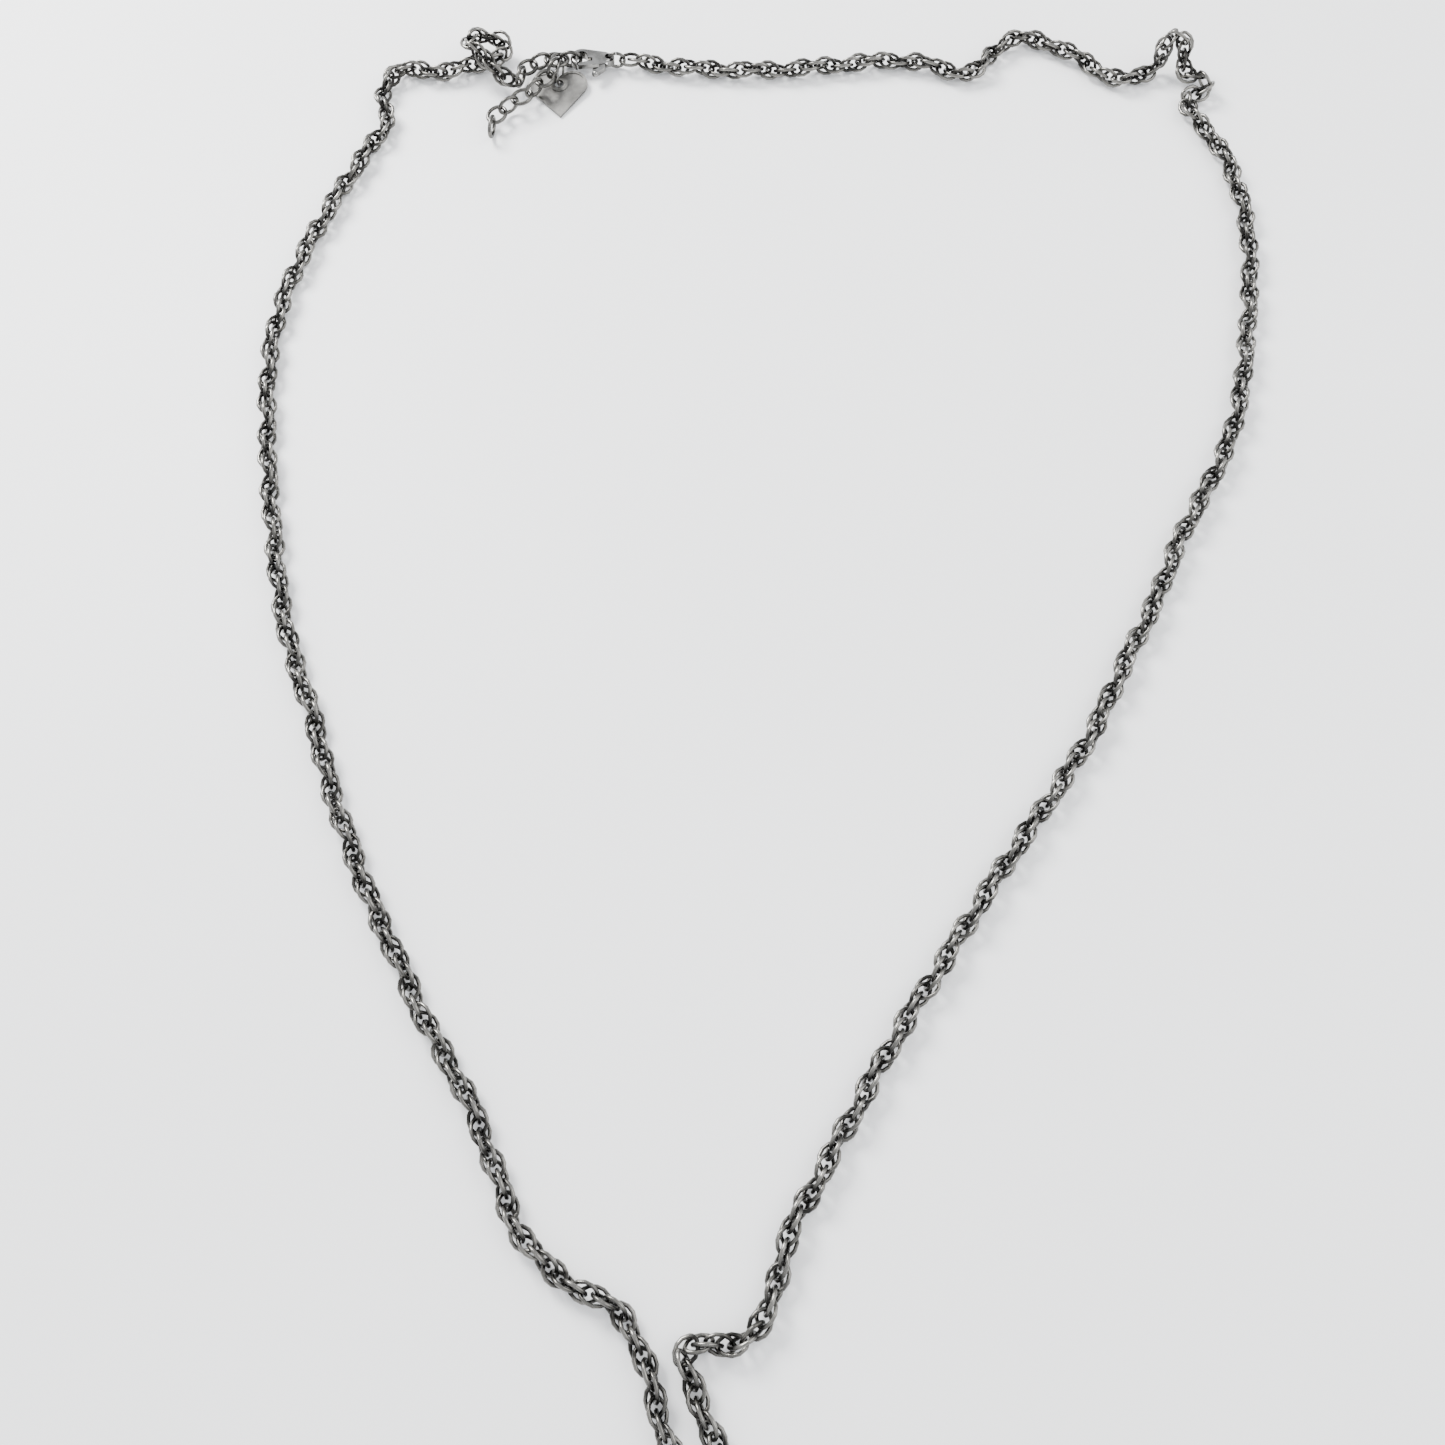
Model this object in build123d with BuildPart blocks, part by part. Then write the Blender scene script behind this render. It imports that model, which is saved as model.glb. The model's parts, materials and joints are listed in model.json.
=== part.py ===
from build123d import *
import math
import os
import numpy as np

# A pendant necklace laid out flat on a table, in millimetres.
# +X runs across the loop, +Y from the pendant towards the clasp, and the table is Z = 0.
# The rope is a chain of single oval links. Each link is threaded through the two before it.

os.makedirs("parts", exist_ok=True)

# Rope links
ROPE_WIRE = 0.60
LINK_LENGTH = 5.15
LINK_WIDTH = 3.90
LINK_END_RADIUS = 1.05
LINK_PITCH = 1.78
LINK_TWIST = -50.0
LINK_LEAN = 14.5
LINK_OFFSET = 0.26
LOOSENESS = 5.0
WIRE_GAP = 0.20
SETTLE_ROUNDS = 160

# Extender links, jump rings and clasp
EXTENDER_WIRE = 0.80
EXTENDER_LENGTH = 5.2
EXTENDER_WIDTH = 4.4
EXTENDER_END_RADIUS = 1.6
UPRIGHT_RUN = EXTENDER_LENGTH - EXTENDER_WIRE
BAR_PLAY = 1.0
FLAT_RUN = UPRIGHT_RUN - 2 * BAR_PLAY
RING_RADIUS = 1.75
RING_WIRE = 0.70
RING_SLIT = 0.08
CLASP_X, CLASP_Y, CLASP_Z = -37.5, 158.8, 2.25
CLASP_THICKNESS = 2.1

# Clasp details, from the clasp's middle with the claw towards -X
CLAW_X, CLAW_RADIUS = -2.1, 2.55
NECK_X, NECK_RADIUS = 2.6, 1.7
BODY_ROUNDING = 0.6
OPENING_AT, OPENING_RADIUS = (-2.2, 0.1), 1.35
MOUTH_AT, MOUTH_LENGTH, MOUTH_DEPTH = (-1.45, -1.7), 3.3, 2.8
EYE_X = 3.6
EYE_RADIUS, EYE_HOLE = 1.35, 0.7
EYE_THICKNESS = 1.4
PIVOT_X, PIVOT_Y = 2.0, -0.8
PIN_RADIUS = 0.4
PIN_PLAY = 0.06
LEVER_THICKNESS = 1.1
SLOT_AT, SLOT_LENGTH, SLOT_DEPTH, SLOT_HEIGHT = (1.25, -1.35), 4.5, 3.7, 1.24
SPRING_X = 0.9
SPRING_START, SPRING_LENGTH, SPRING_RADIUS, SPRING_WIRE = 0.14, 1.1, 0.30, 0.14
SPRING_TURN = 0.26
POCKET_START, POCKET_DEPTH, POCKET_RADIUS = 0.4, 0.95, 0.42
KNOB_AT, KNOB_RADIUS = (0.9, -4.1), 0.72

# The lever's three tapering arms: where each starts, its radius there, where it ends, its radius there
LEVER_ARMS = [
    ((PIVOT_X, PIVOT_Y), 0.8, (-2.55, -1.75), 0.4),
    ((PIVOT_X, PIVOT_Y), 0.7, (2.6, -2.5), 0.45),
    ((2.6, -2.5), 0.45, (0.9, -4.0), 0.5),
]

HOOK_X, HOOK_Y = -2.4, 0.3
hooked_x = CLASP_X + HOOK_X - UPRIGHT_RUN / 2
hooked_y = CLASP_Y + HOOK_Y
clasp_plane = Plane(origin=(CLASP_X, CLASP_Y, CLASP_Z))

# Heart tag
TAG_X, TAG_Y = -44.5, 152.85
TAG_TURN = 4.0
TAG_LIFT = 4.8
TAG_LOBE = 3.35
TAG_LOBE_X = 2.85
TAG_POINT = 8.6
TAG_THICKNESS = 0.55
TAG_RIM = 0.55
TAG_SINK = 0.15
TAG_HOLE = 1.0
TAG_HOLE_Y = 0.15

# Pendant, below the two rope ends
PENDANT_X, PENDANT_Y = -11.9, -149.6
PENDANT_HALF_WIDTH = 12.5
PENDANT_HALF_HEIGHT = 16.0
PENDANT_RIM = 1.6
PENDANT_THICKNESS = 2.6
BACK_THICKNESS = 0.7
BACK_INSET = 0.8
RIM_ROUNDING = 0.7
LOOP_HEIGHT = 2.0
LOOP_RADIUS = 1.7
LOOP_WIRE = 1.0
SET_PLAY = 0.05
STONE_HEIGHT = 3.6
STONE_DOME = 2.4
back_half_width = PENDANT_HALF_WIDTH - BACK_INSET
back_half_height = PENDANT_HALF_HEIGHT - BACK_INSET
stone_half_width = PENDANT_HALF_WIDTH - PENDANT_RIM
stone_half_height = PENDANT_HALF_HEIGHT - PENDANT_RIM
loop_y = PENDANT_Y + PENDANT_HALF_HEIGHT + LOOP_RADIUS
pendant_plane = Plane(origin=(PENDANT_X, PENDANT_Y, 0))

# Rings between the rope ends and the pendant: x, y, z and heading of the two strand rings
LEFT_STRAND_RING = (-15.5, -122.75, 2.2, -90)
RIGHT_STRAND_RING = (-8.3, -122.4, 2.2, -90)
CONNECTOR_LENGTH = 13.0
CONNECTOR_WIDTH = 7.5
CONNECTOR_END_RADIUS = 2.2
CONNECTOR_WIRE = 1.2
CONNECTOR_Y = -125.4
CONNECTOR_Z = 2.3
BAIL_RADIUS = 2.25
BAIL_WIRE = 0.9
BAIL_Y = -129.45
BAIL_Z = 2.75

# The rope's left length: from the extender, through a knot, round the corner and down
LEFT_ROUTE = [
    (-53.9, 151.4, 3.0), (-56.0, 152.6, 3.4), (-58.3, 154.2, 4.8), (-61.0, 156.0, 6.2),
    (-63.6, 159.0, 6.0), (-62.9, 162.6, 5.0), (-59.6, 164.2, 3.8), (-56.9, 162.8, 2.8),
    (-57.6, 160.2, 2.2), (-61.0, 158.4, 2.1), (-65.4, 156.9, 2.1), (-70.4, 155.4, 2.1),
    (-76.4, 156.4, 2.1), (-81.0, 153.8, 2.1), (-82.2, 148.8, 2.1), (-80.8, 143.0, 2.1),
    (-82.8, 136.0, 2.1), (-87.6, 125.0, 2.1), (-93.6, 109.0, 2.1), (-97.4, 94.0, 2.1),
    (-98.4, 79.0, 2.1), (-97.1, 65.0, 2.1), (-95.1, 51.5, 2.1), (-92.6, 38.5, 2.1),
    (-89.8, 25.5, 2.1), (-86.0, 13.5, 2.1), (-81.3, 2.0, 2.1), (-77.5, -9.5, 2.1),
    (-72.9, -20.5, 2.1), (-68.2, -31.0, 2.1), (-62.6, -41.5, 2.1), (-57.4, -51.5, 2.1),
    (-51.3, -61.0, 2.1), (-46.4, -70.5, 2.1), (-42.8, -79.0, 2.1), (-40.2, -84.3, 2.1),
    (-35.6, -89.2, 2.1), (-29.8, -92.8, 2.1), (-24.8, -95.6, 2.1), (-21.2, -100.9, 2.1),
    (-19.0, -107.7, 2.1), (-16.4, -115.0, 2.1), (-15.5, -121.0, 2.1),
]

# The rope's right length: from the clasp, along the back, through a knot and down
RIGHT_ROUTE = [
    (-29.9, 158.8, 2.2), (-24.0, 157.8, 2.1), (-17.0, 156.7, 2.1), (-9.0, 156.2, 2.1),
    (-1.0, 156.0, 2.1), (7.7, 156.6, 2.1), (16.2, 157.6, 2.1), (25.4, 158.7, 2.1),
    (34.1, 158.2, 2.1), (40.4, 155.8, 2.1), (45.0, 155.4, 2.1), (49.4, 160.2, 2.1),
    (55.0, 165.2, 2.1), (62.9, 163.6, 2.1), (70.1, 158.4, 2.1), (77.4, 153.4, 2.1),
    (82.6, 155.0, 2.1), (85.6, 157.2, 3.0), (86.4, 158.8, 5.4), (88.7, 159.8, 7.4),
    (91.1, 158.8, 5.6), (91.0, 156.6, 3.2), (92.4, 154.2, 2.2), (95.0, 152.6, 2.2),
    (94.0, 149.6, 2.2), (91.2, 147.4, 2.1), (91.6, 143.6, 2.1), (94.6, 137.6, 2.1),
    (98.3, 125.0, 2.1), (98.8, 109.0, 2.1), (96.9, 94.0, 2.1), (94.0, 79.5, 2.1),
    (90.1, 65.0, 2.1), (83.7, 51.5, 2.1), (76.2, 38.5, 2.1), (70.1, 25.5, 2.1),
    (63.5, 13.5, 2.1), (57.5, 2.0, 2.1), (50.1, -9.5, 2.1), (42.1, -20.5, 2.1),
    (34.6, -31.0, 2.1), (27.6, -41.5, 2.1), (20.8, -51.5, 2.1), (14.9, -61.0, 2.1),
    (9.3, -70.5, 2.1), (4.0, -79.5, 2.1), (0.0, -88.0, 2.1), (-1.6, -94.4, 2.1),
    (-4.8, -98.6, 2.1), (-9.2, -100.4, 2.1), (-12.6, -100.2, 2.1), (-14.8, -101.8, 2.1),
    (-13.9, -104.8, 2.1), (-11.8, -109.4, 2.1), (-9.2, -115.4, 2.1), (-8.2, -121.0, 2.1),
]

# The extender and its free tail: a heading and two heights for each link in turn, flat ones first
EXTENDER_LEGS = [(176, 1.85, 1.95), (204, 2.3, 2.3), (239, 2.4, 2.5), (251, 2.7, 2.9)]
TAIL_LEGS = [
    (267, 2.85, 3.35), (240, 3.8, 3.9), (238, 3.75, 3.65), (225, 3.65, 3.5),
    (212, 3.3, 3.1), (215, 2.9, 2.6), (240, 2.4, 2.3), (262, 2.25, 2.25),
]
TAG_RING_X, TAG_RING_Y, TAG_RING_Z = -44.13, 154.5, 2.8
TAG_RING_HEADING = 79
TAG_RING_RADIUS = 2.45
TAG_RING_WIRE = 0.5

# The rope bends across the whole loop at these places, counted from the clasp
FOLD_LINES = [118, 86, 54, 22, -10, -42, -72, -106]
LEFT_BACK_SPLITS = [18, 34]
RIGHT_BACK_SPLITS = [20, 40, 60, 80]


def oval_line(length, width, end_radius):
    """Four tangent arcs: the middle of the wire in an oval link that lies along X."""
    a = length / 2
    b = width / 2
    flank = ((a - end_radius) ** 2 + b**2 - end_radius**2) / (2 * (b - end_radius))
    turn = math.degrees(math.atan2(flank - b, a - end_radius))
    with BuildLine() as line:
        CenterArc((a - end_radius, 0), end_radius, -turn, 2 * turn)
        CenterArc((0, b - flank), flank, turn, 180 - 2 * turn)
        CenterArc((end_radius - a, 0), end_radius, 180 - turn, 2 * turn)
        CenterArc((0, flank - b), flank, 180 + turn, 180 - 2 * turn)
    return line.line


def oval_link(length, width, end_radius, wire):
    """A closed link of round wire, lying flat along X."""
    with BuildPart() as link:
        with BuildLine() as path:
            add(oval_line(length - wire, width - wire, end_radius))
        with BuildSketch(Plane(origin=path.line @ 0, z_dir=path.line % 0)):
            Circle(wire / 2)
        sweep()
    return link.part


def jump_ring(name, plane, radius=RING_RADIUS, wire=RING_WIRE):
    """A round ring of wire with the fine slit where it was closed."""
    with BuildPart(plane) as ring:
        Torus(radius, wire / 2)
        with Locations((0, radius, 0)):
            Box(RING_SLIT, 2 * wire, 2 * wire, mode=Mode.SUBTRACT)
    ring.part.label = name
    return ring.part


def turned(vector, axis, degrees):
    """The vector turned about a unit axis."""
    c = math.cos(math.radians(degrees))
    s = math.sin(math.radians(degrees))
    return vector * c + np.cross(axis, vector) * s + axis * axis.dot(vector) * (1 - c)


def along_route(points, first, pitch):
    """Even steps along a smooth line: place, direction, sideways and up at each step."""
    with BuildLine():
        route = Spline(*points)
    up = np.array([0.0, 0.0, 1.0])
    steps = []
    for k in range(int((route.length - first) / pitch) + 1):
        share = (first + k * pitch) / route.length
        direction = np.array(tuple(route % share))
        side = np.cross(up, direction)
        side = side / np.linalg.norm(side)
        up = np.cross(direction, side)
        steps.append((np.array(tuple(route @ share)), direction, side, up))
    return steps


def rope_places(points):
    """Centres and axes of the rope's links, before they settle."""
    centres = []
    axes = []
    lean = math.radians(LINK_LEAN)
    for k, (spot, direction, side, up) in enumerate(along_route(points, LINK_PITCH / 2, LINK_PITCH)):
        play = LOOSENESS * (math.sin(1.7 * k) + 0.6 * math.sin(0.6 * k + 1))
        roll = 90 + k * LINK_TWIST + play
        normal = turned(side, direction, roll)
        rise = turned(up, direction, roll)
        long_axis = direction * math.cos(lean) - rise * math.sin(lean)
        centres.append(spot + normal * LINK_OFFSET)
        axes.append(np.column_stack([long_axis, np.cross(normal, long_axis), normal]))
    return np.array(centres), np.array(axes)


def settle(centres, axes, rounds=SETTLE_ROUNDS):
    """Push links apart where their wires would meet, as they slide in a real bend."""
    middle = oval_line(LINK_LENGTH - ROPE_WIRE, LINK_WIDTH - ROPE_WIRE, LINK_END_RADIUS)
    beads = np.array([tuple(middle @ (i / 40)) for i in range(40)])
    for turn in range(rounds):
        spots = np.einsum("nij,mj->nmi", axes, beads) + centres[:, None]
        if turn % 20 == 0:
            apart = np.linalg.norm(centres[:, None] - centres[None], axis=-1)
            one, two = np.nonzero(np.triu(apart < LINK_LENGTH, 1))
        gaps = spots[one][:, :, None] - spots[two][:, None]
        lengths = np.linalg.norm(gaps, axis=-1)
        if turn % 20 == 0:
            near = lengths.min(axis=(1, 2)) < ROPE_WIRE + 2 * WIRE_GAP
            one, two, gaps, lengths = one[near], two[near], gaps[near], lengths[near]
        depth = np.clip(ROPE_WIRE + WIRE_GAP - lengths, 0, None)
        force = gaps * (depth / lengths)[..., None]
        push = np.zeros_like(spots)
        np.add.at(push, one, force.sum(axis=2))
        np.add.at(push, two, -force.sum(axis=1))
        push[..., 2] += np.clip(ROPE_WIRE / 2 + 0.02 - spots[..., 2], 0, None)
        spin = 0.03 * np.cross(spots - centres[:, None], push).sum(axis=1)
        centres = centres + 0.1 * push.sum(axis=1)
        for k in np.nonzero(np.linalg.norm(spin, axis=1) > 1e-6)[0]:
            angle = np.linalg.norm(spin[k])
            turn_axis = spin[k] / angle
            axes[k] = np.column_stack(
                [turned(column, turn_axis, math.degrees(angle)) for column in axes[k].T]
            )
    return centres, axes


def place(centre, axis):
    """Where a link goes: its centre, its long axis and its normal."""
    return Location(Plane(origin=tuple(centre), x_dir=tuple(axis[:, 0]), z_dir=tuple(axis[:, 2])))


def loose_links(name, link, places):
    """A node of separate links. They stay single solids, so they are grouped and not fused."""
    group = Compound(label=name, children=[link.located(spot) for spot in places])
    export_step(group, f"parts/{name}.step")
    return group


def fold_splits(centres, lines):
    """The first link past each fold line."""
    return [int(np.nonzero(centres[:, 1] < line)[0][0]) for line in lines]


def stretches(side, centres, axes, back_splits):
    """Cut one rope length into stretches at the knots and fold lines, a node for each."""
    splits = [0] + back_splits + fold_splits(centres, FOLD_LINES) + [len(centres)]
    link = oval_link(LINK_LENGTH, LINK_WIDTH, LINK_END_RADIUS, ROPE_WIRE)
    nodes = []
    for n, (start, stop) in enumerate(zip(splits, splits[1:])):
        places = [place(centres[k], axes[k]) for k in range(start, stop)]
        nodes.append(loose_links(f"rope_{side}_{n + 1:02d}", link, places))
    return nodes


def chain_places(x, y, legs):
    """Places of larger links in turn. Upright links end at wires that the flat ones swing on."""
    places = []
    for n, (heading, near_height, far_height) in enumerate(legs):
        flat = n % 2 == 0
        run = FLAT_RUN if flat else UPRIGHT_RUN
        dx = run * math.cos(math.radians(heading))
        dy = run * math.sin(math.radians(heading))
        middle = (x + dx / 2, y + dy / 2, (near_height + far_height) / 2)
        lie = Vector(dx, dy, far_height - near_height)
        side = Vector(-dy, dx, 0)
        link_plane = Plane(origin=middle, x_dir=lie, z_dir=lie.cross(side) if flat else side)
        places.append(Location(link_plane))
        x += dx
        y += dy
    return places


def hull_of(start, start_radius, end, end_radius):
    """Two circles and the straight sides that touch both."""
    with Locations(start):
        Circle(start_radius)
    with Locations(end):
        Circle(end_radius)
    make_hull()


def make_clasp_body():
    """The cast claw, with its mouth, the eye, and the pocket for lever and spring."""
    bottom = clasp_plane.offset(-CLASP_THICKNESS / 2)
    with BuildPart() as body:
        with BuildSketch(bottom):
            hull_of((CLAW_X, 0), CLAW_RADIUS, (NECK_X, 0), NECK_RADIUS)
        extrude(amount=CLASP_THICKNESS)
        rims = body.edges().group_by(Axis.Z)
        fillet(rims[0] + rims[-1], radius=BODY_ROUNDING)
        with BuildSketch(clasp_plane.offset(-EYE_THICKNESS / 2)):
            with Locations((EYE_X, 0)):
                Circle(EYE_RADIUS)
        extrude(amount=EYE_THICKNESS)
        with BuildSketch(bottom):
            with Locations((EYE_X, 0)):
                Circle(EYE_HOLE)
            with Locations(OPENING_AT):
                Circle(OPENING_RADIUS)
            with Locations(MOUTH_AT):
                Rectangle(MOUTH_LENGTH, MOUTH_DEPTH)
            with Locations((PIVOT_X, PIVOT_Y)):
                Circle(PIN_RADIUS)
        extrude(amount=CLASP_THICKNESS, mode=Mode.SUBTRACT)
        with BuildSketch(clasp_plane.offset(-SLOT_HEIGHT / 2)):
            with Locations(SLOT_AT):
                Rectangle(SLOT_LENGTH, SLOT_DEPTH)
        extrude(amount=SLOT_HEIGHT, mode=Mode.SUBTRACT)
        pocket_start = (CLASP_X + SPRING_X, CLASP_Y + POCKET_START, CLASP_Z)
        with BuildSketch(Plane(origin=pocket_start, x_dir=(1, 0, 0), z_dir=(0, 1, 0))):
            Circle(POCKET_RADIUS)
        extrude(amount=POCKET_DEPTH, mode=Mode.SUBTRACT)
    return body.part


def make_clasp_trigger():
    """The sprung lever: gate arm, pivot boss and the thumb arm with its knob."""
    with BuildPart() as trigger:
        with BuildSketch(clasp_plane.offset(-LEVER_THICKNESS / 2)):
            for arm in LEVER_ARMS:
                with BuildSketch(mode=Mode.ADD):
                    hull_of(*arm)
        extrude(amount=LEVER_THICKNESS)
        with Locations((CLASP_X + KNOB_AT[0], CLASP_Y + KNOB_AT[1], CLASP_Z)):
            Sphere(KNOB_RADIUS)
        with Locations((CLASP_X + PIVOT_X, CLASP_Y + PIVOT_Y, CLASP_Z)):
            Cylinder(PIN_RADIUS + PIN_PLAY, LEVER_THICKNESS, mode=Mode.SUBTRACT)
    return trigger.part


def make_clasp_pin():
    """The rivet that the lever turns on, flush with both faces."""
    with BuildPart() as pin:
        with Locations((CLASP_X + PIVOT_X, CLASP_Y + PIVOT_Y, CLASP_Z)):
            Cylinder(PIN_RADIUS, CLASP_THICKNESS)
    return pin.part


def make_clasp_spring():
    """The small coil in the pocket behind the lever, lying along Y."""
    start = (CLASP_X + SPRING_X, CLASP_Y + SPRING_START, CLASP_Z)
    with BuildPart() as spring:
        with BuildLine() as path:
            Helix(SPRING_TURN, SPRING_LENGTH, SPRING_RADIUS, center=start, direction=(0, 1, 0))
        with BuildSketch(Plane(origin=path.line @ 0, z_dir=path.line % 0)):
            Circle(SPRING_WIRE / 2)
        sweep()
    return spring.part


def make_heart_tag():
    """A flat heart with a raised edge and a hole under its cleft."""
    lifted = TAG_POINT * math.sin(math.radians(TAG_LIFT))
    flat = Plane(Location((TAG_X, TAG_Y, lifted), (TAG_LIFT, 0, TAG_TURN)))
    reach = math.hypot(TAG_LOBE_X, TAG_POINT)
    lean = math.atan2(TAG_POINT, TAG_LOBE_X) - math.asin(TAG_LOBE / reach)
    start = math.degrees(lean) - 90
    stop = math.degrees(math.acos(-TAG_LOBE_X / TAG_LOBE))
    with BuildPart() as tag:
        with BuildSketch(flat) as outline:
            with BuildLine():
                lobe = CenterArc((TAG_LOBE_X, 0), TAG_LOBE, start, stop - start)
                Line(lobe @ 0, (0, -TAG_POINT))
                mirror(about=Plane.YZ)
            make_face()
        extrude(amount=TAG_THICKNESS)
        with BuildSketch(flat.offset(TAG_THICKNESS)):
            add(outline.sketch_local)
            offset(amount=-TAG_RIM, mode=Mode.REPLACE)
            with Locations((0, TAG_HOLE_Y)):
                Circle(2 * TAG_HOLE, mode=Mode.SUBTRACT)
        extrude(amount=-TAG_SINK, mode=Mode.SUBTRACT)
        with BuildSketch(flat):
            with Locations((0, TAG_HOLE_Y)):
                Circle(TAG_HOLE)
        extrude(amount=TAG_THICKNESS, mode=Mode.SUBTRACT)
    return tag.part


def make_pendant_frame():
    """The oval setting: an upright rim with a lip over the stone, and the hanging loop."""
    with BuildPart() as frame:
        with BuildSketch(pendant_plane):
            Ellipse(PENDANT_HALF_WIDTH, PENDANT_HALF_HEIGHT)
        extrude(amount=PENDANT_THICKNESS)
        fillet(frame.edges().group_by(Axis.Z)[-1], radius=RIM_ROUNDING)
        with BuildSketch(pendant_plane):
            Ellipse(stone_half_width, stone_half_height)
        extrude(amount=PENDANT_THICKNESS, mode=Mode.SUBTRACT)
        with Locations((PENDANT_X, loop_y, LOOP_HEIGHT)):
            Torus(LOOP_RADIUS, LOOP_WIRE / 2)
        with BuildSketch(pendant_plane):
            Ellipse(back_half_width, back_half_height)
        extrude(amount=BACK_THICKNESS, mode=Mode.SUBTRACT)
    return frame.part


def make_pendant_back():
    """The plate that closes the setting from below."""
    with BuildPart() as back:
        with BuildSketch(pendant_plane):
            Ellipse(back_half_width - SET_PLAY, back_half_height - SET_PLAY)
        extrude(amount=BACK_THICKNESS)
    return back.part


def make_pendant_stone():
    """A domed cabochon that stands on the back plate."""
    with BuildPart() as stone:
        with BuildSketch(pendant_plane.offset(BACK_THICKNESS)):
            Ellipse(stone_half_width - SET_PLAY, stone_half_height - SET_PLAY)
        extrude(amount=STONE_HEIGHT)
        fillet(stone.edges().group_by(Axis.Z)[-1], radius=STONE_DOME)
    return stone.part


def save(name, piece):
    """Label one piece and write its file."""
    piece.label = name
    export_step(piece, f"parts/{name}.step")
    return piece


def upright_ring(name, x, y, z, heading, radius=RING_RADIUS, wire=RING_WIRE):
    """A jump ring that stands on edge, in line with a heading in degrees from +X."""
    lie = (math.cos(math.radians(heading)), math.sin(math.radians(heading)), 0)
    ring_plane = Plane(origin=(x, y, z), x_dir=lie, z_dir=(lie[1], -lie[0], 0))
    return save(name, jump_ring(name, ring_plane, radius, wire))


left_centres, left_axes = settle(*rope_places(LEFT_ROUTE))
right_centres, right_axes = settle(*rope_places(RIGHT_ROUTE))
stretches("left", left_centres, left_axes, LEFT_BACK_SPLITS)
stretches("right", right_centres, right_axes, RIGHT_BACK_SPLITS)

save("clasp_body", make_clasp_body())
save("clasp_trigger", make_clasp_trigger())
save("clasp_pin", make_clasp_pin())
save("clasp_spring", make_clasp_spring())
upright_ring("clasp_ring", CLASP_X + EYE_X + RING_RADIUS, CLASP_Y, CLASP_Z, 0)

extender_link = oval_link(EXTENDER_LENGTH, EXTENDER_WIDTH, EXTENDER_END_RADIUS, EXTENDER_WIRE)
hooked_plane = Plane(origin=(hooked_x, hooked_y, CLASP_Z), x_dir=(1, 0, 0), z_dir=(0, 1, 0))
save("hooked_link", extender_link.located(Location(hooked_plane)))
hold_x = hooked_x - UPRIGHT_RUN / 2
for n, spot in enumerate(chain_places(hold_x, hooked_y, EXTENDER_LEGS)):
    save(f"extender_link_{n + 1:02d}", extender_link.located(spot))
for n, spot in enumerate(chain_places(hold_x, hooked_y, TAIL_LEGS)):
    save(f"tail_link_{n + 1:02d}", extender_link.located(spot))
upright_ring("tag_ring", TAG_RING_X, TAG_RING_Y, TAG_RING_Z, TAG_RING_HEADING, TAG_RING_RADIUS, TAG_RING_WIRE)
save("heart_tag", make_heart_tag())

upright_ring("strand_ring_left", *LEFT_STRAND_RING)
upright_ring("strand_ring_right", *RIGHT_STRAND_RING)
connector = oval_link(CONNECTOR_LENGTH, CONNECTOR_WIDTH, CONNECTOR_END_RADIUS, CONNECTOR_WIRE)
save("connector_link", connector.located(Location((PENDANT_X, CONNECTOR_Y, CONNECTOR_Z))))
upright_ring("bail_ring", PENDANT_X, BAIL_Y, BAIL_Z, 90, BAIL_RADIUS, BAIL_WIRE)
save("pendant_frame", make_pendant_frame())
save("pendant_back", make_pendant_back())
save("pendant_stone", make_pendant_stone())
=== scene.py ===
import bpy
import bmesh
import json
import math

import numpy as np
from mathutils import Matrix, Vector


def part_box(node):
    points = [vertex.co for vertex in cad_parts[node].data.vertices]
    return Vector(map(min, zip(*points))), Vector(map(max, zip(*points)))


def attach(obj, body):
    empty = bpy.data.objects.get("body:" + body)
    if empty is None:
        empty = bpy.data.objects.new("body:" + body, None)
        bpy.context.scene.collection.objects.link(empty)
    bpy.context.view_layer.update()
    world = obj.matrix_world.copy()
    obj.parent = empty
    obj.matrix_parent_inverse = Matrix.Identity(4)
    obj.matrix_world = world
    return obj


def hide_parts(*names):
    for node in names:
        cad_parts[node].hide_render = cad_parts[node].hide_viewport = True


# A pendant necklace on a pale table, in metres. The rope's links are modelled again here,
# each where the frame has it, with a rounder and thicker wire than the frame's 0.60 mm.

MM = 0.001

# A rope link: the middle of its wire is four tangent arcs
LINK_LENGTH = 4.55 * MM
LINK_WIDTH = 3.30 * MM
LINK_END_RADIUS = 1.05 * MM
LINK_WIRE = 0.72 * MM
LINK_STEPS = 4
LINK_SIDES = 6

# Painted shade and painted light on the rope, set by the distance from the middle of the rope,
# which runs through the middles of a link's nearest neighbours and its own: painted dark between
# the links, painted bright on the outside
PAINTED_LIGHT_FROM = 1.15 * MM
PAINTED_LIGHT_TO = 1.95 * MM
PAINTED_LIGHT_SHARE = 0.42
NEAR_LINKS = 5

# Corners of the frame's mesh that round to the same place are one
PLACES_PER_METRE = 1e7

BEAD_COUNT = 64
BEAD_RADIUS = 0.46 * MM
BEADING_OUT = 0.2 * MM
RIM_STEPS = 2001

# Colours where tarnished or dark, and where bright; on the rope the dark one also paints shade
# between the links, and the bright one paints light on its outside
ROPE_TONES = (0.026, 0.025, 0.023), (0.180, 0.174, 0.160)
STONE_TONES = (0.010, 0.013, 0.020), (0.045, 0.060, 0.085)
TABLE_TONES = (0.86, 0.86, 0.855), (0.90, 0.90, 0.895)

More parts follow.
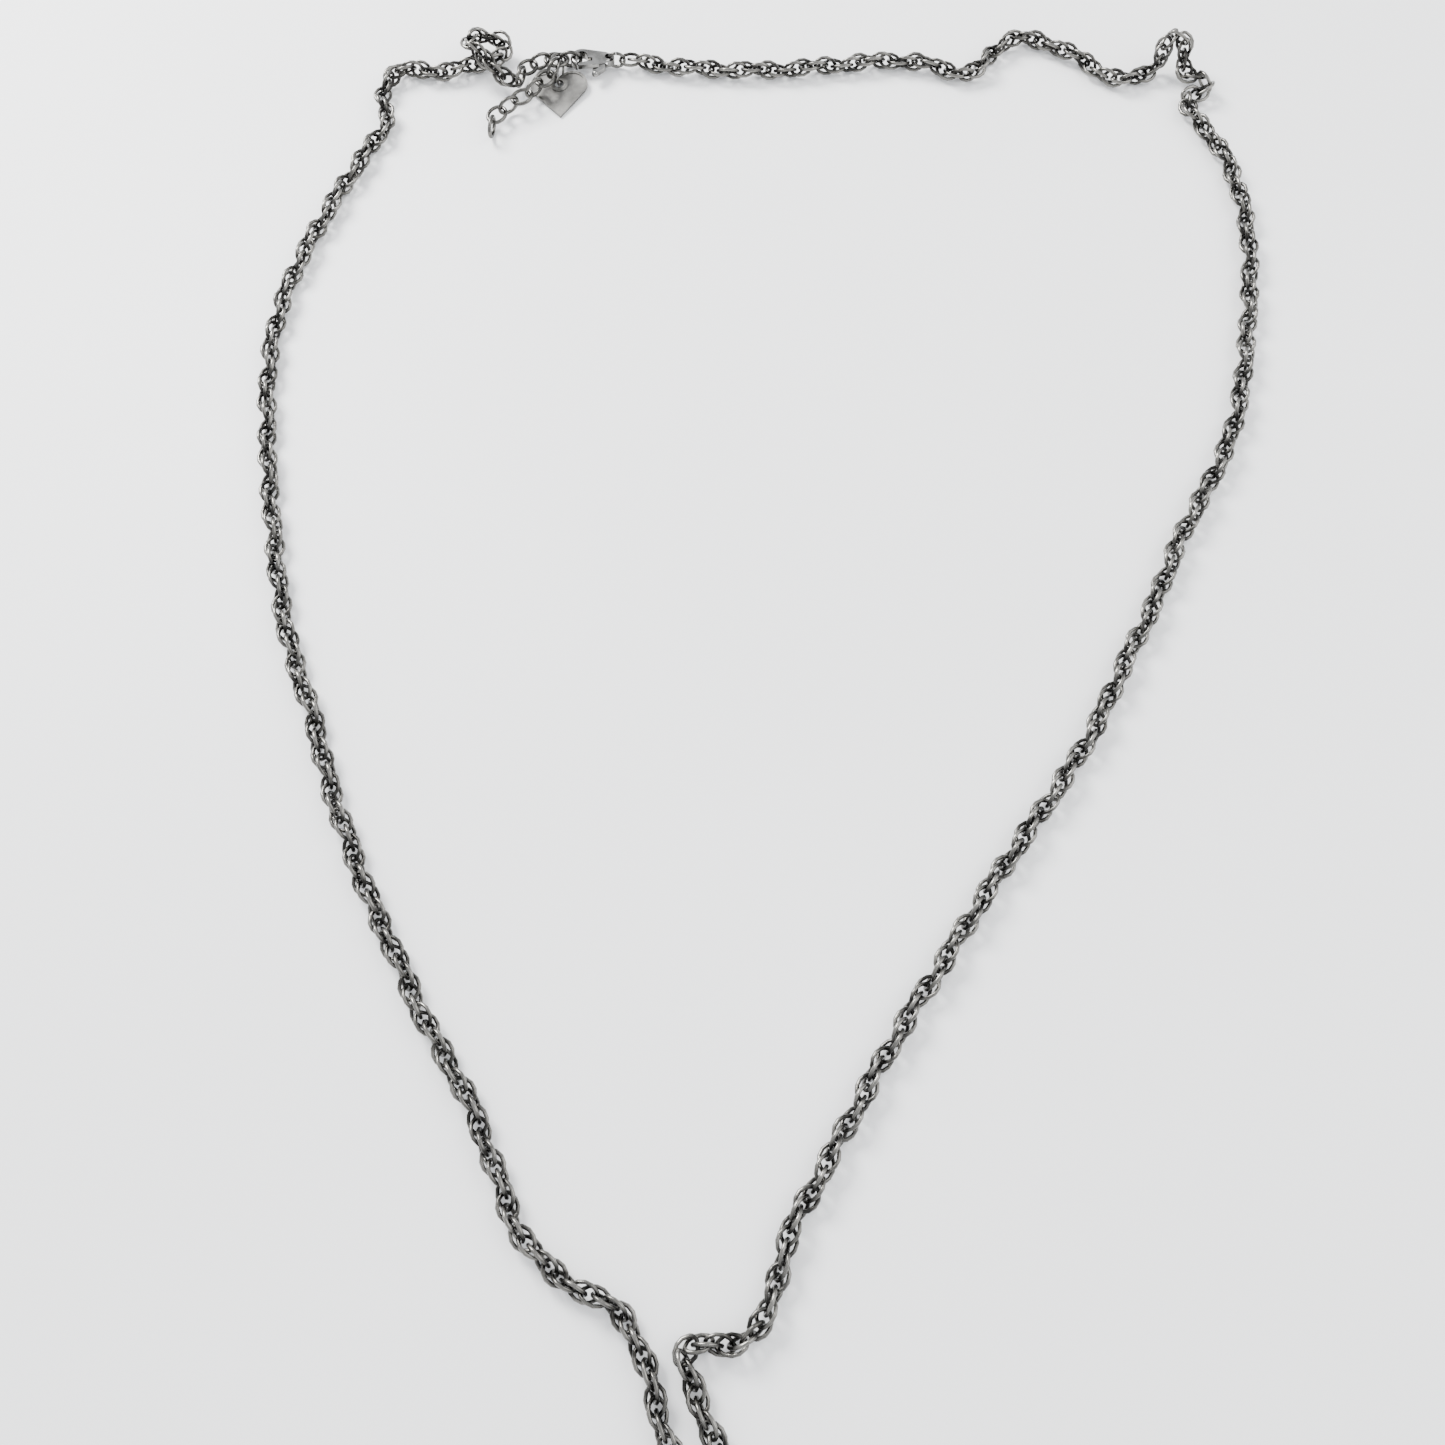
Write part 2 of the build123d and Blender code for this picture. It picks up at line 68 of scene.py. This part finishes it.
# The other metals: both colours, then the least and the most roughness
EXTENDER_METAL = (0.040, 0.039, 0.036), (0.170, 0.165, 0.153), 0.16, 0.30
RING_METAL = (0.060, 0.058, 0.054), (0.21, 0.205, 0.192), 0.16, 0.28
CLASP_METAL = (0.12, 0.117, 0.110), (0.33, 0.325, 0.312), 0.12, 0.22
TAG_METAL = (0.10, 0.098, 0.092), (0.20, 0.196, 0.184), 0.30, 0.46
SETTING_METAL = (0.07, 0.068, 0.063), (0.26, 0.255, 0.24), 0.20, 0.34

# The room's light, and each lamp's place, size and power
SKY_COLOUR = (0.86, 0.88, 0.92, 1)
SKY_STRENGTH = 1.80
KEY_LAMP = (-0.45, 0.55, 0.55), 0.34, 18.0
FILL_LAMP = (0.60, 0.10, 0.60), 0.70, 5.0

CAMERA_PLACE = (-0.009, -0.104, 0.245)
CAMERA_TILT = 23.44
SENSOR_WIDTH = 36
LENS = SENSOR_WIDTH * 1500 / 1445


def node_tree(name):
    """A new material's tree, its shader and its object coordinates."""
    material = bpy.data.materials.new(name)
    material.use_nodes = True
    tree = material.node_tree
    shader = tree.nodes["Principled BSDF"]
    place = tree.nodes.new("ShaderNodeTexCoord").outputs["Object"]
    return material, tree, shader, place


def noise(tree, place, scale, detail=4.0):
    """Noise over the object, finer as the scale grows."""
    node = tree.nodes.new("ShaderNodeTexNoise")
    node.inputs["Scale"].default_value = scale
    node.inputs["Detail"].default_value = detail
    tree.links.new(place, node.inputs["Vector"])
    return node.outputs["Fac"]


def blend_of(tree, factor, low, high):
    """A colour that goes from low to high with the factor."""
    ramp = tree.nodes.new("ShaderNodeValToRGB")
    ramp.color_ramp.elements[0].color = (*low, 1)
    ramp.color_ramp.elements[0].position = 0.30
    ramp.color_ramp.elements[1].color = (*high, 1)
    ramp.color_ramp.elements[1].position = 0.72
    tree.links.new(factor, ramp.inputs["Fac"])
    return ramp.outputs["Color"]


def ranged(tree, factor, low, high):
    """A value between low and high that follows the factor."""
    node = tree.nodes.new("ShaderNodeMapRange")
    node.inputs["From Min"].default_value = 0.3
    node.inputs["From Max"].default_value = 0.7
    node.inputs["To Min"].default_value = low
    node.inputs["To Max"].default_value = high
    tree.links.new(factor, node.inputs["Value"])
    return node.outputs["Result"]


def bumped(tree, factor, shader, depth):
    """Fine unevenness, depth in metres."""
    node = tree.nodes.new("ShaderNodeBump")
    node.inputs["Strength"].default_value = 0.5
    node.inputs["Distance"].default_value = depth
    tree.links.new(factor, node.inputs["Height"])
    tree.links.new(node.outputs["Normal"], shader.inputs["Normal"])


def metal(name, low, high, smooth, rough, patch=450, grain=4500, depth=0.00003):
    """Metal with patches of tarnish and a fine grain."""
    material, tree, shader, place = node_tree(name)
    patches = noise(tree, place, patch)
    fine = noise(tree, place, grain, 2.0)
    tree.links.new(blend_of(tree, patches, low, high), shader.inputs["Base Color"])
    tree.links.new(ranged(tree, fine, smooth, rough), shader.inputs["Roughness"])
    shader.inputs["Metallic"].default_value = 1.0
    bumped(tree, fine, shader, depth)
    return material


def rope_metal():
    """Darkened silver with patches of tarnish, plus painted shade near black between the links
    and painted light bright on the outside.
    """
    material, tree, shader, place = node_tree("rope_metal")
    # Painted shade and painted light: dark between the links, bright on the rope's outside
    worn = tree.nodes.new("ShaderNodeAttribute")
    worn.attribute_name = "worn"
    patches = noise(tree, place, 300)
    total = tree.nodes.new("ShaderNodeMath")
    total.operation = "MULTIPLY_ADD"
    total.inputs[1].default_value = PAINTED_LIGHT_SHARE
    tree.links.new(worn.outputs["Fac"], total.inputs[0])
    share = ranged(tree, patches, 0.10, 0.50)
    tree.links.new(share, total.inputs[2])
    colour = blend_of(tree, total.outputs["Value"], *ROPE_TONES)
    tree.links.new(colour, shader.inputs["Base Color"])
    fine = noise(tree, place, 5000, 2.0)
    tree.links.new(ranged(tree, fine, 0.16, 0.30), shader.inputs["Roughness"])
    shader.inputs["Metallic"].default_value = 1.0
    bumped(tree, fine, shader, 0.00002)
    return material


def stone_finish():
    """A dark polished stone with soft cloudy bands."""
    material, tree, shader, place = node_tree("stone")
    clouds = noise(tree, place, 130, 6.0)
    colour = blend_of(tree, clouds, *STONE_TONES)
    tree.links.new(colour, shader.inputs["Base Color"])
    shader.inputs["Roughness"].default_value = 0.12
    shader.inputs["Coat Weight"].default_value = 1.0
    shader.inputs["Coat Roughness"].default_value = 0.03
    return material


def table_finish():
    """The pale matt table top."""
    material, tree, shader, place = node_tree("table")
    cloud = noise(tree, place, 9, 3.0)
    tree.links.new(blend_of(tree, cloud, *TABLE_TONES), shader.inputs["Base Color"])
    shader.inputs["Roughness"].default_value = 0.55
    return material


def oval():
    """Even steps round a rope link's wire, in its own plane: place and outward direction."""
    a = LINK_LENGTH / 2
    b = LINK_WIDTH / 2
    e = LINK_END_RADIUS
    flank = ((a - e) ** 2 + b**2 - e**2) / (2 * (b - e))
    turn = math.atan2(flank - b, a - e)
    arcs = [
        (a - e, 0, e, -turn, turn),
        (0, b - flank, flank, turn, math.pi - turn),
        (e - a, 0, e, math.pi - turn, math.pi + turn),
        (0, flank - b, flank, math.pi + turn, 2 * math.pi - turn),
    ]
    places = []
    outward = []
    for x, y, radius, start, stop in arcs:
        for step in range(LINK_STEPS):
            angle = start + (stop - start) * step / LINK_STEPS
            places.append((x + radius * math.cos(angle), y + radius * math.sin(angle), 0))
            outward.append((math.cos(angle), math.sin(angle), 0))
    return np.array(places), np.array(outward)


def link_shape():
    """One rope link's points and faces."""
    places, outward = oval()
    around = np.arange(LINK_SIDES) * 2 * math.pi / LINK_SIDES
    up = np.array([0, 0, 1.0])
    rim = outward[:, None] * np.cos(around)[None, :, None] + up * np.sin(around)[None, :, None]
    points = (places[:, None] + rim * LINK_WIRE / 2).reshape(-1, 3)
    count = len(places)
    faces = []
    for i in range(count):
        for j in range(LINK_SIDES):
            here, onward = i * LINK_SIDES, (i + 1) % count * LINK_SIDES
            beside = (j + 1) % LINK_SIDES
            faces.append((here + j, onward + j, onward + beside, here + beside))
    return points, np.array(faces)


def separate_links(mesh):
    """The points of each loose link in a frame mesh."""
    points = np.zeros(len(mesh.vertices) * 3)
    mesh.vertices.foreach_get("co", points)
    points = points.reshape(-1, 3)
    edges = np.zeros(len(mesh.edges) * 2, int)
    mesh.edges.foreach_get("vertices", edges)
    whole = np.round(points * PLACES_PER_METRE).astype(int)
    keys, same = np.unique(whole, axis=0, return_inverse=True)
    same = same.ravel()
    one, two = same[edges.reshape(-1, 2)].T
    group = np.arange(len(keys))
    while True:
        lowest = group.copy()
        np.minimum.at(lowest, one, group[two])
        np.minimum.at(lowest, two, group[one])
        lowest = lowest[lowest]
        if (lowest == group).all():
            break
        group = lowest
    spots = keys / PLACES_PER_METRE
    return [spots[group == name] for name in np.unique(group)]


def link_axes(points):
    """A link's middle, and its long axis, side and normal as columns."""
    centre = (points.min(axis=0) + points.max(axis=0)) / 2
    for _ in range(3):
        spread = np.linalg.eigh(np.cov((points - centre).T))[1][:, ::-1]
        inside = (points - centre) @ spread
        centre = centre + spread @ (inside.min(axis=0) + inside.max(axis=0)) / 2
    normal = np.cross(spread[:, 0], spread[:, 1])
    return centre, np.column_stack([spread[:, 0], spread[:, 1], normal])


def rope_stretch(name, found, centres, finish, shape):
    """All the links of one stretch as one mesh, with each point's painted shade and painted
    light, from its distance to the rope's middle.
    """
    points, faces = shape
    all_points = []
    all_faces = []
    worn = []
    for count, (centre, axes) in enumerate(found):
        placed = centre + points @ axes.T
        near = centres[np.argsort(np.linalg.norm(centres - centre, axis=1))[:NEAR_LINKS]]
        middle = near.mean(axis=0)
        along = np.linalg.svd(near - middle)[2][0]
        across = placed - middle
        across = across - np.outer(across @ along, along)
        # Painted shade near the rope's middle, between the links, and painted light towards its
        # outside
        share = (np.linalg.norm(across, axis=1) - PAINTED_LIGHT_FROM) / (PAINTED_LIGHT_TO - PAINTED_LIGHT_FROM)
        worn.append(np.clip(share, 0, 1))
        all_points.append(placed)
        all_faces.append(faces + count * len(points))
    mesh = bpy.data.meshes.new(name)
    mesh.from_pydata(np.concatenate(all_points).tolist(), [], np.concatenate(all_faces).tolist())
    mesh.shade_smooth()
    # Kept on each point as the painted shade and painted light the rope's colour follows
    painted_light_layer = mesh.attributes.new("worn", "FLOAT", "POINT")
    painted_light_layer.data.foreach_set("value", np.concatenate(worn))
    mesh.materials.append(finish)
    piece = bpy.data.objects.new(name, mesh)
    bpy.context.scene.collection.objects.link(piece)
    return piece


def rope(frame, bodies):
    """Every stretch of both rope lengths."""
    finish = rope_metal()
    shape = link_shape()
    for side in ("left", "right"):
        names = sorted(n for n in frame["nodes"] if n.startswith(f"rope_{side}"))
        loose = {n: separate_links(frame["nodes"][n].data) for n in names}
        found = {n: [link_axes(points) for points in loose[n]] for n in names}
        centres = np.array([centre for links in found.values() for centre, _ in links])
        for name in names:
            piece = rope_stretch(f"links_{name}", found[name], centres, finish, shape)
            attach(piece, bodies[name])
            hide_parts(name)


def beading(finish):
    """A row of small beads on the rim of the pendant's setting."""
    low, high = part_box("pendant_stone")
    rim_low, rim_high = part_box("pendant_back")
    middle = (low + high) / 2
    half_x = (high.x - low.x + rim_high.x - rim_low.x) / 4 + BEADING_OUT
    half_y = (high.y - low.y + rim_high.y - rim_low.y) / 4 + BEADING_OUT
    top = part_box("pendant_frame")[1].z
    fine = np.linspace(0, 2 * math.pi, RIM_STEPS)
    line = np.column_stack([half_x * np.cos(fine), half_y * np.sin(fine)])
    run = np.concatenate([[0], np.cumsum(np.linalg.norm(np.diff(line, axis=0), axis=1))])
    shape = bmesh.new()
    for k in range(BEAD_COUNT):
        angle = np.interp(run[-1] * k / BEAD_COUNT, run, fine)
        x = middle.x + half_x * math.cos(angle)
        y = middle.y + half_y * math.sin(angle)
        made = bmesh.ops.create_uvsphere(shape, u_segments=8, v_segments=6, radius=BEAD_RADIUS)
        bmesh.ops.translate(shape, verts=made["verts"], vec=Vector((x, y, top)))
    mesh = bpy.data.meshes.new("pendant_beading")
    shape.to_mesh(mesh)
    shape.free()
    mesh.shade_smooth()
    mesh.materials.append(finish)
    piece = bpy.data.objects.new("pendant_beading", mesh)
    bpy.context.scene.collection.objects.link(piece)
    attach(piece, "pendant")


def coat(frame, finish, *starts):
    """Give every node whose name starts so this material."""
    for name, node in frame["nodes"].items():
        if name.startswith(starts):
            node.data.materials.clear()
            node.data.materials.append(finish)


def soft_light(name, spot, size, power):
    """A large square lamp that faces the middle of the table."""
    lamp = bpy.data.lights.new(name, "AREA")
    lamp.size = size
    lamp.energy = power
    light = bpy.data.objects.new(name, lamp)
    light.location = spot
    light.rotation_euler = (-Vector(spot)).to_track_quat("-Z", "Y").to_euler()
    bpy.context.scene.collection.objects.link(light)


def studio():
    """Table, soft light from the upper left, and the camera above the loop's lower part."""
    bpy.ops.mesh.primitive_plane_add(size=6)
    table = bpy.context.object
    table.name = "table"
    table.data.materials.append(table_finish())
    world = bpy.data.worlds.new("soft")
    world.use_nodes = True
    sky = world.node_tree.nodes["Background"]
    sky.inputs["Color"].default_value = SKY_COLOUR
    sky.inputs["Strength"].default_value = SKY_STRENGTH
    bpy.context.scene.world = world
    soft_light("key", *KEY_LAMP)
    soft_light("fill", *FILL_LAMP)
    view = bpy.data.cameras.new("camera")
    view.sensor_width = SENSOR_WIDTH
    view.lens = LENS
    view.clip_start = 0.01
    camera = bpy.data.objects.new("camera", view)
    camera.location = CAMERA_PLACE
    camera.rotation_euler = (math.radians(CAMERA_TILT), 0, 0)
    bpy.context.scene.collection.objects.link(camera)
    bpy.context.scene.camera = camera


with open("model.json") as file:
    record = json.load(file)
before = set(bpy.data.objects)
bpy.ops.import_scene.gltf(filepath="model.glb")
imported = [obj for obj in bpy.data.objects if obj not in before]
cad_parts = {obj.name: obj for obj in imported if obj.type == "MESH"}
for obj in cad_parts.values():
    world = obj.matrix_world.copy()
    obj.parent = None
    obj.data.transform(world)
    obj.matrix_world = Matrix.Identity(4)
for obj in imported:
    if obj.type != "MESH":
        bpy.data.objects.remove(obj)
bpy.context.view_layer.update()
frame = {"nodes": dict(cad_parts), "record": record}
members = frame["record"]["behaviour"]["bodies"]
bodies = {node: body for body, nodes in members.items() for node in nodes}

rope(frame, bodies)

links = metal("extender_metal", *EXTENDER_METAL)
rings = metal("ring_metal", *RING_METAL)
polished = metal("clasp_metal", *CLASP_METAL, depth=0.00001)
tag = metal("tag_metal", *TAG_METAL)
setting = metal("setting_metal", *SETTING_METAL)

coat(frame, links, "extender_link", "tail_link", "hooked_link")
coat(frame, rings, "clasp_ring", "tag_ring", "strand_ring", "connector_link", "bail_ring")
coat(frame, polished, "clasp_body", "clasp_trigger", "clasp_pin", "clasp_spring")
coat(frame, tag, "heart_tag")
coat(frame, setting, "pendant_frame", "pendant_back")
coat(frame, stone_finish(), "pendant_stone")
beading(setting)
studio()
